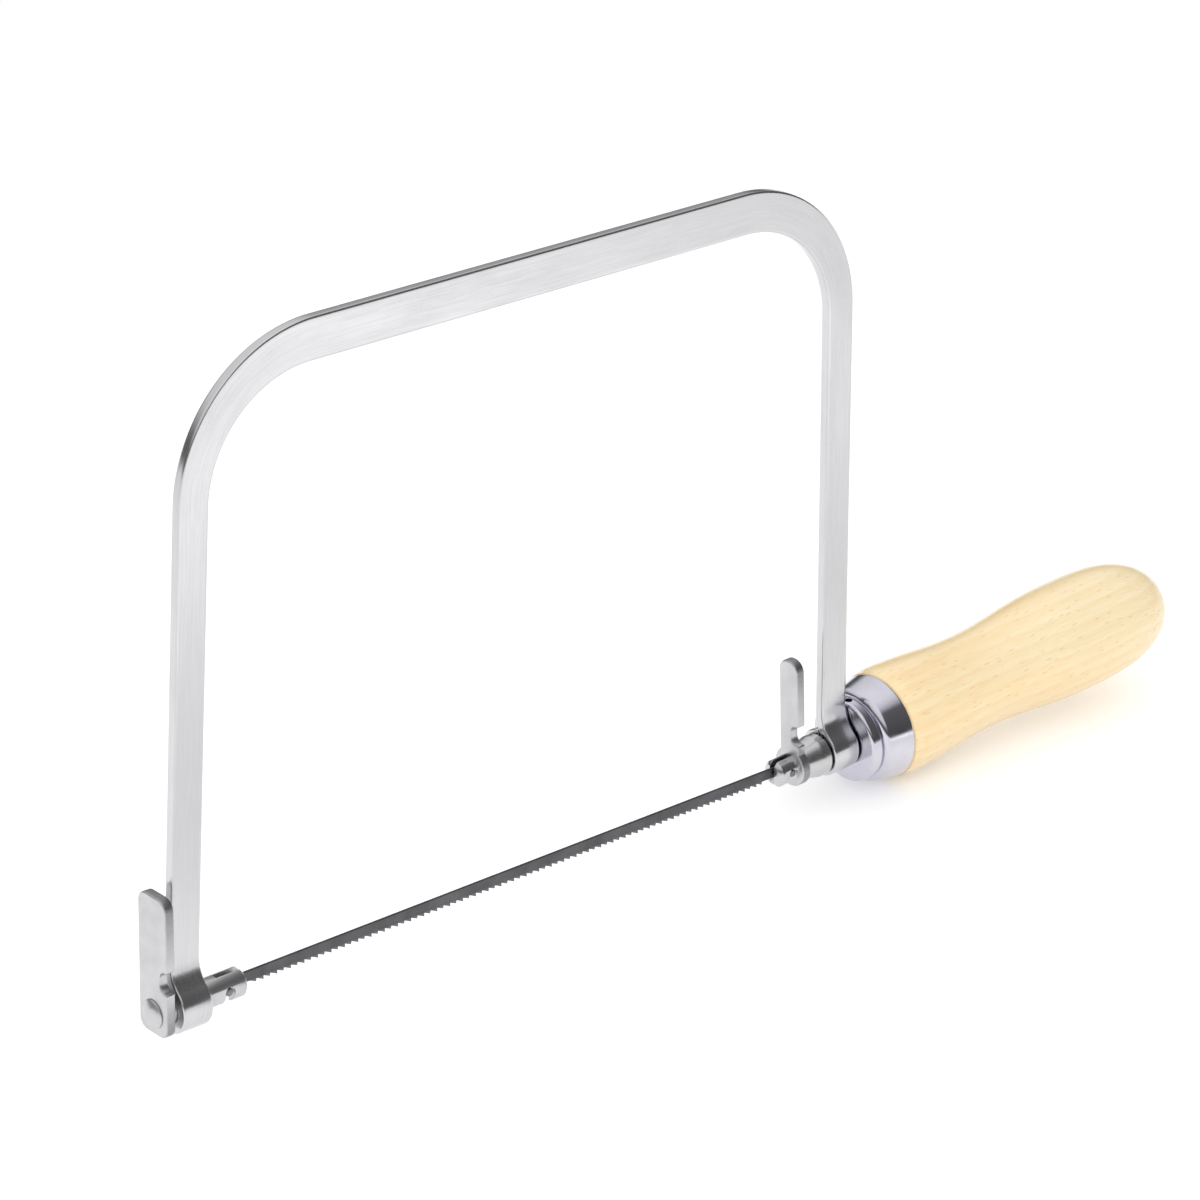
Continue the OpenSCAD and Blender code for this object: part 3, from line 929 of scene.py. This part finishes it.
class SAW_OT_spigots(SawPiece):
    """Both spigots with their slotted, hooked tips, the peened end, the hub and the thread"""

    bl_idname = "saw.spigots"
    bl_label = "Spigots"

    @staticmethod
    def tip_cutters(place, toward):
        """The blade's slot and the pin's hook, as two closed pieces to cut with.

        toward is 1 where the tip points along the axis, and -1 where it points back. The
        slot is a straight channel, and the hook a channel from below that ends in a half
        circle round the cross pin."""
        over = S.spigot_r + 1
        x = np.array([-S.slot_back, S.tip_len + 1]) * toward
        y = S.slot_w / 2
        box = [[x[0], -y], [x[1], -y], [x[1], y], [x[0], y]]
        slot = grid_piece("slot_cutter", place(extruded(box, (-over, over), 2)), caps=True)
        arch = circle(np.linspace(0, np.pi, 33), S.hook_r)
        hook = np.concatenate([arch, [[-S.hook_r, -over], [S.hook_r, -over]]])
        hook = grid_piece("hook_cutter", place(extruded(hook, (-over, over), 1)), caps=True)
        return slot, hook

    def spigot(self, name, profile, place, toward):
        """A turned pin with its tip cut and its sharp edges broken."""
        obj = grid_piece(name, turned(profile, place), sharp=35)
        cut(obj, *self.tip_cutters(place, toward))
        return soften(obj, S.broken_edge)

    def build(self, shape):
        """The peened end is a dome: a circle's arc over a low upright rim, which the hammer
        spread over the plate."""
        r, b, t, u = S.spigot_r, S.tip_bevel, S.tip_len, S.rear_tip_len
        rim_r, rim_h = S.neck_r + S.peen_rim, S.peen_rim_h
        edge, lip = S.broken_edge, S.tip_lip
        dome_h = S.peen_h - rim_h
        dome_r = (rim_r**2 + dome_h**2) / (2 * dome_h)
        dome = np.linspace(0, math.asin(rim_r / dome_r), 9)
        top = S.front_lever_out - S.peen_h + dome_r
        head = [top, 0.0] + circle(dome, dome_r) * [-1, 1]
        shank = [
            [S.front_lever_out - edge / 2, rim_r],
            [S.front_lever_out, rim_r - edge],
            [S.front_lever_out, S.neck_r],
            [S.front_lever_in, S.neck_r],
            [S.front_lever_in, r],
            [t - b, r],
            [t - lip, r - b + lip],
            [t, r - b - edge],
            [t, 0],
        ]
        obj = self.spigot("front_spigot_pin", np.concatenate([head, shank]), at_front, 1)
        hand_over(obj, "front_holder", "plated_steel", finish("peened_spigot"), "front_spigot")
        rear = [
            [-u, 0],
            [-u, r - b - edge],
            [lip - u, r - b + lip],
            [b - u, r],
            [S.rear_eye_out, r],
            [S.rear_eye_out, S.tail_r - 0.45],
            [S.rear_eye_out + 0.2, 0],
        ]
        obj = self.spigot("rear_spigot_pin", rear, at_rear, -1)
        hand_over(obj, "rear_holder", "plated_steel", finish("turned_steel"), "rear_spigot")
        self.thread(shape)
        self.hub()

    @staticmethod
    def thread(shape):
        """The rear spigot's threaded tail: the radius at place x and angle a is the crest
        less a depth that rises and falls once a pitch, shifted by the angle's share of a
        turn, so that the ridge climbs as a screw. It starts just inside the pin, and its
        last millimetre tapers."""
        depth, step, overlap, chamfer = 0.55 * shape.thread_pitch, 1 / 8, 0.1, 0.4
        end = S.rear_eye_out + chamfer + S.tail_len
        x = np.arange(S.rear_eye_out - overlap, end, step)
        x[-1] = end
        a = np.linspace(0, 2 * np.pi, 48, endpoint=False)
        turns = x[:, None] / shape.thread_pitch - a / (2 * np.pi)
        ridge = np.abs(2 * (turns % 1) - 1)
        r = S.tail_r - depth * np.clip(ridge * 1.25 - 0.125, 0, 1)
        taper = np.clip(end - x, 0.0, 1.0)[:, None]
        r = np.minimum(r, S.tail_r - depth * (1 - taper))
        r[0], r[-1] = 0, 0
        wide = np.broadcast_to(x[:, None], r.shape)
        grid = at_rear(np.stack([wide, r * np.cos(a), r * np.sin(a)], axis=-1))
        obj = grid_piece("rear_spigot_thread", grid)
        hand_over(obj, "rear_holder", "plated_steel", finish("turned_steel"))

    @staticmethod
    def hub():
        """The hub, turned as a bell: it widens from the lever plate to a rim by the leg, and
        its edges are broken."""
        low, high, r = S.hub_front, S.hub_back, S.hub_r
        inner = S.spigot_r - 0.05
        neck, rim = [low, S.hub_neck_r], [high - S.hub_rim, r]
        corners = [[low, inner], neck, rim, [high, r], [high, inner]]
        radii = [0, 0.3, 3.0, 0.4, 0]
        obj = turned_ring("rear_hub_ring", corners, radii, 6, 0.15, segments=96)
        hand_over(obj, "rear_holder", "plated_steel", finish("turned_steel"), "rear_hub")


class SAW_OT_blade(SawPiece):
    """The toothed blade and its cross pins"""

    bl_idname = "saw.blade"
    bl_label = "Blade"

    def build(self, shape):
        """The blade is a row of closed sections along X: each is the blade's thickness round
        its back, with the low edge at the tooth line, which falls from root to tip over one
        pitch and jumps back. Tips lean left and right in turn."""
        count = int((S.pin_span - 2 * S.plain_end) // S.tooth_pitch)
        span = count * S.tooth_pitch
        start = S.front_pin + (S.pin_span - span) / 2
        root, tip = -S.blade_w / 2 + S.tooth_depth, -S.blade_w / 2
        i = np.arange(count)
        lean = shape.tooth_set * np.array([1.0, -1.0])[i % 2]
        left = start + i * S.tooth_pitch
        share = np.array([0.03, 0.35, 0.7, 0.97, 1.0])
        x = (left[:, None] + share * S.tooth_pitch).ravel()
        fall = np.array([0.0, 0.33, 0.7, 1.0, 0.96])
        low = np.tile(root + (tip - root) * fall, count)
        side = (lean[:, None] * fall**1.3).ravel()
        first, last, bevel = S.front_pin - S.blade_end, S.rear_pin + S.blade_end, 0.2
        x = np.array([first, first + bevel, start, *x, start + span + 0.02, last - bevel, last])
        low = np.array([root + bevel, root, root, *low, root, root, root + bevel])
        side = np.array([0, 0, 0, *side, 0, 0, 0])
        high = np.full(len(x), S.blade_w / 2)
        high[[0, -1]] -= bevel
        t, shoulder, gap = S.blade_t / 2, 0.12, 0.02
        y_share = np.array([-1.0, -1.0, -1.0, -0.6, 0.6, 1.0, 1.0, 1.0])
        z_top = np.array([-shoulder, 0.0, 0.0, -shoulder])
        grid = np.zeros((len(x), 8, 3))
        grid[..., 0] = x[:, None]
        grid[..., 1] = t * y_share
        grid[:, 2:6, 2] = high[:, None] + z_top
        grid[:, [1, 6], 2] = root + gap
        grid[:, [0, 7], 2] = np.minimum(low, root)[:, None]
        grid[:, [0, 7], 1] += side[:, None]
        grid[..., 2] -= S.throat_h
        obj = grid_piece("toothed_blade", grid, caps=True, sharp=30)
        hand_over(obj, "blade_body", "blade_steel", finish("blade"), "blade")
        self.pins()

    @staticmethod
    def pins():
        """The two cross pins: short wires across the blade with rounded ends."""
        r, half, segments = S.pin_d / 2, S.pin_len / 2, 40
        in_y, in_r = rounding(S.pin_round, 5)
        cap = np.concatenate([np.stack([half - in_y, r - in_r], axis=1), [[half, 0]]])
        profile = np.concatenate([cap[::-1] * [-1, 1], cap])
        turn = np.linspace(0, 2 * np.pi, segments, endpoint=False)
        y = np.broadcast_to(profile[:, :1], (len(profile), segments))
        ring = np.stack([profile[:, 1:] * np.cos(turn), y, profile[:, 1:] * np.sin(turn)], axis=-1)
        faces = np.array(grid_faces(len(profile), segments))
        pins = [(ring + at).reshape(-1, 3) for at in (S.front_pin_at, S.rear_pin_at)]
        faces = np.concatenate([faces, faces + ring.shape[0] * ring.shape[1]]).tolist()
        obj = finish_mesh("cross_pin_pair", np.concatenate(pins), faces, sharp=40)
        hand_over(obj, "blade_body", "pin_steel", finish("cross_pin"), "cross_pins")


class SAW_OT_collar(SawPiece):
    """The thrust collar with its cross hole, and the ferrule"""

    bl_idname = "saw.collar"
    bl_label = "Collar and ferrule"

    def build(self, shape):
        self.collar()
        self.ferrule()

    @staticmethod
    def collar():
        """A ring with rounded rims, bored through and drilled across for a tommy bar."""
        low, high, r = S.collar_front, S.collar_front + S.collar_t, S.collar_r
        bore = S.tail_r + S.thread_gap
        corners, radii = [[low, bore], [low, r], [high, r], [high, bore]], [0.2, 0.8, 0.8, 0.2]
        obj = turned_ring("thrust_collar_ring", corners, radii, 7, 0.2)
        a = np.linspace(0, 2 * np.pi, 32, endpoint=False)
        hole = [low + S.collar_t / 2, 0.0] + circle(a, S.tommy_r)
        hole = extruded(hole, (r - S.tommy_depth, r + 1), 2)
        cut(obj, grid_piece("hole_cutter", at_rear(hole), caps=True))
        obj.data.set_sharp_from_angle(angle=math.radians(40))
        hand_over(obj, "collar_body", "collar_plate", finish("collar"), "thrust_collar")

    @staticmethod
    def ferrule():
        """A pressed cup: a flat face, a round shoulder and a wall that flares to the wood,
        where its lip is rolled over."""
        front, back = S.ferrule_front, S.wood_front
        bore, wall = S.tail_r + S.thread_gap, S.ferrule_wall
        corners = [
            [front, bore],
            [front, S.ferrule_r],
            [back, S.mouth_r],
            [back, S.mouth_r - wall],
            [front + wall, S.ferrule_r - wall],
            [front + wall, bore],
        ]
        radii = [0.2, 1.8, 0.35, 0.35, 0.9, 0.2]
        obj = turned_ring("ferrule_cup", corners, radii, 9, 0.25, sharp=50)
        hand_over(obj, "handle_body", "collar_plate", finish("collar"), "ferrule")


class SAW_OT_handle(SawPiece):
    """The turned beech handle and the brass insert inside it"""

    bl_idname = "saw.handle"
    bl_label = "Handle"

    @staticmethod
    def outline():
        """Stations (place, radius) of the bare wood: three stretches whose radius follows
        half a cosine wave from one station to the next, and a rounded end where the radius
        falls as the square root of 1 minus a power of the place."""
        start, length = S.wood_front, S.wood_len
        places = start + np.array([0.0, *S.wood_stations]) * length
        radii = np.array([S.mouth_r, S.shoulder_r, S.waist_r, S.swell_r])
        t = np.linspace(0, 1, 16, endpoint=False)[:, None]
        x = places[:-1] + np.diff(places) * t
        r = radii[:-1] + np.diff(radii) * (1 - np.cos(np.pi * t)) / 2
        a = np.sin(np.linspace(0, np.pi / 2, 48))
        end_x = places[-1] + a * (start + length - places[-1])
        end_r = S.swell_r * np.sqrt(np.maximum(1 - a**S.end_power, 0))
        return np.stack([[*x.T.ravel(), *end_x], [*r.T.ravel(), *end_r]], axis=1)

    def build(self, shape):
        wood = self.outline()
        start, gap, bevel, bore_len = S.wood_front, 0.02, 0.9, 60
        lip = S.mouth_r - 0.25
        bore = S.tail_r + 0.4
        inside = S.ferrule_r - S.ferrule_wall - gap
        mouth = S.mouth_r - S.ferrule_wall - 0.05
        front = S.ferrule_front + S.ferrule_wall + gap
        tenon = [
            [front + bore_len, 0.0],
            [front + bore_len, bore],
            [front, bore],
            [front, inside - bevel],
            [front + bevel, inside],
            [start - 0.3, mouth],
            [start + gap, mouth],
            [start + gap, lip - 0.15],
            [start + 0.12, lip],
        ]
        wood[0] = [start + 0.45, S.mouth_r - gap]
        profile = np.concatenate([tenon, wood])
        profile[-1, 1] = 0.0
        obj = grid_piece("beech_handle", turned(profile, at_rear, 128), sharp=35)
        hand_over(obj, "handle_body", "lacquered_beech", finish("handle"), "handle")
        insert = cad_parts["threaded_insert"]
        insert.data.materials.clear()
        insert.data.materials.append(finish("insert"))


class SAW_OT_stage(bpy.types.Operator):
    """The floor, the soft lamps, the sky and the camera"""

    bl_idname = "saw.stage"
    bl_label = "Stage"
    bl_options = {"REGISTER", "UNDO"}

    def execute(self, context):
        scene = context.scene
        self.camera(scene)
        self.floor()
        self.lamps(scene)
        self.sky(scene)
        scene.view_settings.view_transform = "Standard"
        return {"FINISHED"}

    @staticmethod
    def camera(scene):
        """The photograph's view: right, up and back are the camera's own axes."""
        data = bpy.data.cameras.new("camera")
        data.sensor_width = 36.0
        data.lens = 141.0
        data.clip_start, data.clip_end = 0.05, 20.0
        obj = bpy.data.objects.new("camera", data)
        right = Vector((0.74607344, -0.66547204, 0.02283376))
        up = Vector((0.25766977, 0.32015913, 0.91164929))
        back = Vector((-0.61398755, -0.67427375, 0.41033425))
        turn = Matrix((right, up, back)).transposed().to_4x4()
        obj.matrix_world = Matrix.Translation((-0.59581, -0.67670, 0.33757)) @ turn
        scene.collection.objects.link(obj)
        scene.camera = obj

    @staticmethod
    def floor():
        """A pale disc under the saw that fades into the white background: it shows a soft shadow,
        and the camera sees it a little lighter than it is lit. For the metal it glows as a graded
        sheet, lightest far in front and darker towards the right: a painted reflection that sets
        how light each part of the bow looks."""
        drop, segments = 0.0005, 96
        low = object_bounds()[0][2] - drop
        a = np.linspace(0, 2 * np.pi, segments, endpoint=False)
        r = np.array([0.0, 0.2, 0.5, 1.0, 2.2])[:, None]
        height = np.full((len(r), segments), low)
        grid = np.stack([r * np.cos(a), r * np.sin(a), height], axis=-1)
        obj = grid_piece("floor", grid / MM)
        material, node = new_material("white_paper")
        # Matt white paper: it scatters evenly and only its shadow shows
        paper = node("BsdfDiffuse", {"Color": hex_colour("F4F4F4"), "Roughness": 0.0})
        rays = node("LightPath")
        camera, glossy = rays["Is Camera Ray"], rays["Is Glossy Ray"]
        where = node("TexCoord")["Object"]
        spot = node("SeparateXYZ", {"Vector": where})
        # Painted reflection: a glow that only the metal sees, graded across the sheet from the saw
        # forwards, and along it from the middle to the right
        across = [(0.0, 0.36), (0.12, 0.36), (0.32, 0.05), (0.5, 0.05), (1.0, 0.68)]
        sideways = [(0.0, 0.6), (0.4, 0.65), (0.6, 1.0), (0.75, 0.8), (0.95, 0.35)]
        painted_reflection_tones = []
        for axis, edge, bands in (("Y", -0.25, across), ("X", 0.35, sideways)):
            share = node("MapRange", {"Value": spot[axis], "From Max": edge})["Result"]
            painted_reflection_tones.append(node("ValToRGB", {"Fac": share}, greys(bands))["Color"])
        painted_reflection = node("Math", dict(enumerate(painted_reflection_tones)), operation="MULTIPLY")[0]
        lift = node("Math", {0: camera, 1: 0.24}, operation="MULTIPLY")[0]
        # The painted reflection shows in glossy rays only, added to the camera's lift
        parts = {0: glossy, 1: painted_reflection, 2: lift}
        lift = node("Math", parts, operation="MULTIPLY_ADD")[0]
        glow = node("Emission", {"Strength": lift})
        near = node("AddShader", {0: paper[0], 1: glow[0]})
        seen = node("Math", {0: camera, 1: glossy}, operation="MAXIMUM")[0]
        far = node("Emission", {"Strength": seen})
        away = node("VectorMath", {0: where}, operation="LENGTH")["Value"]
        fade = node("MapRange", {"Value": away, "From Min": 0.3, "From Max": 0.6})
        total = node("MixShader", {"Fac": fade["Result"], 1: near[0], 2: far[0]})
        node("OutputMaterial", {"Surface": total[0]})
        obj.data.materials.append(material)
        obj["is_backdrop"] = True

    @staticmethod
    def lamps(scene):
        """Two soft panels, a key on the left and a fill low in front. They light the
        matt surfaces only: the metal mirrors the studio of the sky instead."""
        stage = scene.saw_stage
        middle = Vector((0.03, 0.0, -0.07))
        for name, power, size, place in (
            ("key", stage.key, 0.7, (-0.95, -0.55, 0.45)),
            ("fill", stage.fill, 0.8, (-0.2, -1.05, 0.15)),
        ):
            data = bpy.data.lights.new(name, "AREA")
            data.energy = power
            data.size = size
            obj = bpy.data.objects.new(name, data)
            obj.location = place
            obj.visible_glossy = False
            aim = middle - Vector(place)
            obj.rotation_euler = aim.to_track_quat("-Z", "Y").to_euler()
            scene.collection.objects.link(obj)

    @staticmethod
    def sky(scene):
        """Even light for matt surfaces, white for the camera, and for the metal a studio: a
        white floor, a dark wall all round at the height of the horizon that stands higher
        on the right, and a pale ceiling."""
        world = bpy.data.worlds.new("studio")
        scene.world = world
        node = new_nodes(world)
        rays = node("LightPath")
        where = node("TexCoord")["Generated"]
        up = node("SeparateXYZ", {"Vector": where})["Z"]
        height = node("MapRange", {"Value": up, "From Min": -1.0, "From Max": 1.0})
        low_wall = [(0.0, 1.0), (0.49, 1.0), (0.52, 0.1), (0.63, 0.12), (0.74, 0.8), (1.0, 1.0)]
        high_wall = [(0.0, 1.0), (0.49, 1.0), (0.52, 0.07), (0.9, 0.12), (0.97, 0.7), (1.0, 0.9)]
        low, high = (
            node("ValToRGB", {"Fac": height["Result"]}, greys(wall))["Color"]
            for wall in (low_wall, high_wall)
        )
        right = node(
            "VectorMath", {0: where, 1: (0.7, -0.5, 0.0)}, operation="DOT_PRODUCT"
        )["Value"]
        share = node("MapRange", {"Value": right, "From Min": 0.15, "From Max": 0.4})
        room = node(
            "Mix", {"Factor": share["Result"], "A": low, "B": high}, data_type="RGBA"
        )["Result"]
        sky = {"Color": grey(1.0), "Strength": scene.saw_stage.sky}
        even = node("Background", sky)
        metal = node("Background", {"Color": room, "Strength": 1.0})
        white = node("Background", {"Color": grey(1.0), "Strength": 1.0})
        gloss = node("MixShader", {"Fac": rays["Is Glossy Ray"], 1: even[0], 2: metal[0]})
        clear = {0: rays["Is Camera Ray"], 1: rays["Is Transmission Ray"]}
        seen = node("Math", clear, operation="MAXIMUM")[0]
        total = node("MixShader", {"Fac": seen, 1: gloss[0], 2: white[0]})
        node("OutputWorld", {"Surface": total[0]})


class SAW_PT_panel(bpy.types.Panel):
    """Lists the saw's settings and its build steps"""

    bl_idname = "SAW_PT_panel"
    bl_label = "Fret saw"
    bl_space_type = "VIEW_3D"
    bl_region_type = "UI"
    bl_category = "Fret saw"

    def draw(self, context):
        for group in ("saw_shape", "saw_finish", "saw_stage"):
            settings = getattr(context.scene, group)
            box = self.layout.box()
            for name in settings.bl_rna.properties.keys():
                if name not in ("rna_type", "name"):
                    box.prop(settings, name)
        for operator in STEPS:
            self.layout.operator(operator.bl_idname)


GROUPS = {"saw_finish": SawFinish, "saw_shape": SawShape, "saw_stage": SawStage}
STEPS = (
    SAW_OT_stage,
    SAW_OT_bow,
    SAW_OT_levers,
    SAW_OT_spigots,
    SAW_OT_blade,
    SAW_OT_collar,
    SAW_OT_handle,
)


def register():
    """Registers the settings, the steps and the panel."""
    for name, group in GROUPS.items():
        bpy.utils.register_class(group)
        setattr(bpy.types.Scene, name, bpy.props.PointerProperty(type=group))
    for step in STEPS:
        bpy.utils.register_class(step)
    bpy.utils.register_class(SAW_PT_panel)


def unregister():
    """Takes back what register added."""
    bpy.utils.unregister_class(SAW_PT_panel)
    for step in reversed(STEPS):
        bpy.utils.unregister_class(step)
    for name, group in GROUPS.items():
        delattr(bpy.types.Scene, name)
        bpy.utils.unregister_class(group)


def main():
    """Builds every piece and the stage."""
    register()
    for step in STEPS:
        space, call = step.bl_idname.split(".")
        getattr(getattr(bpy.ops, space), call)()


if __name__ == "__main__":
    main()
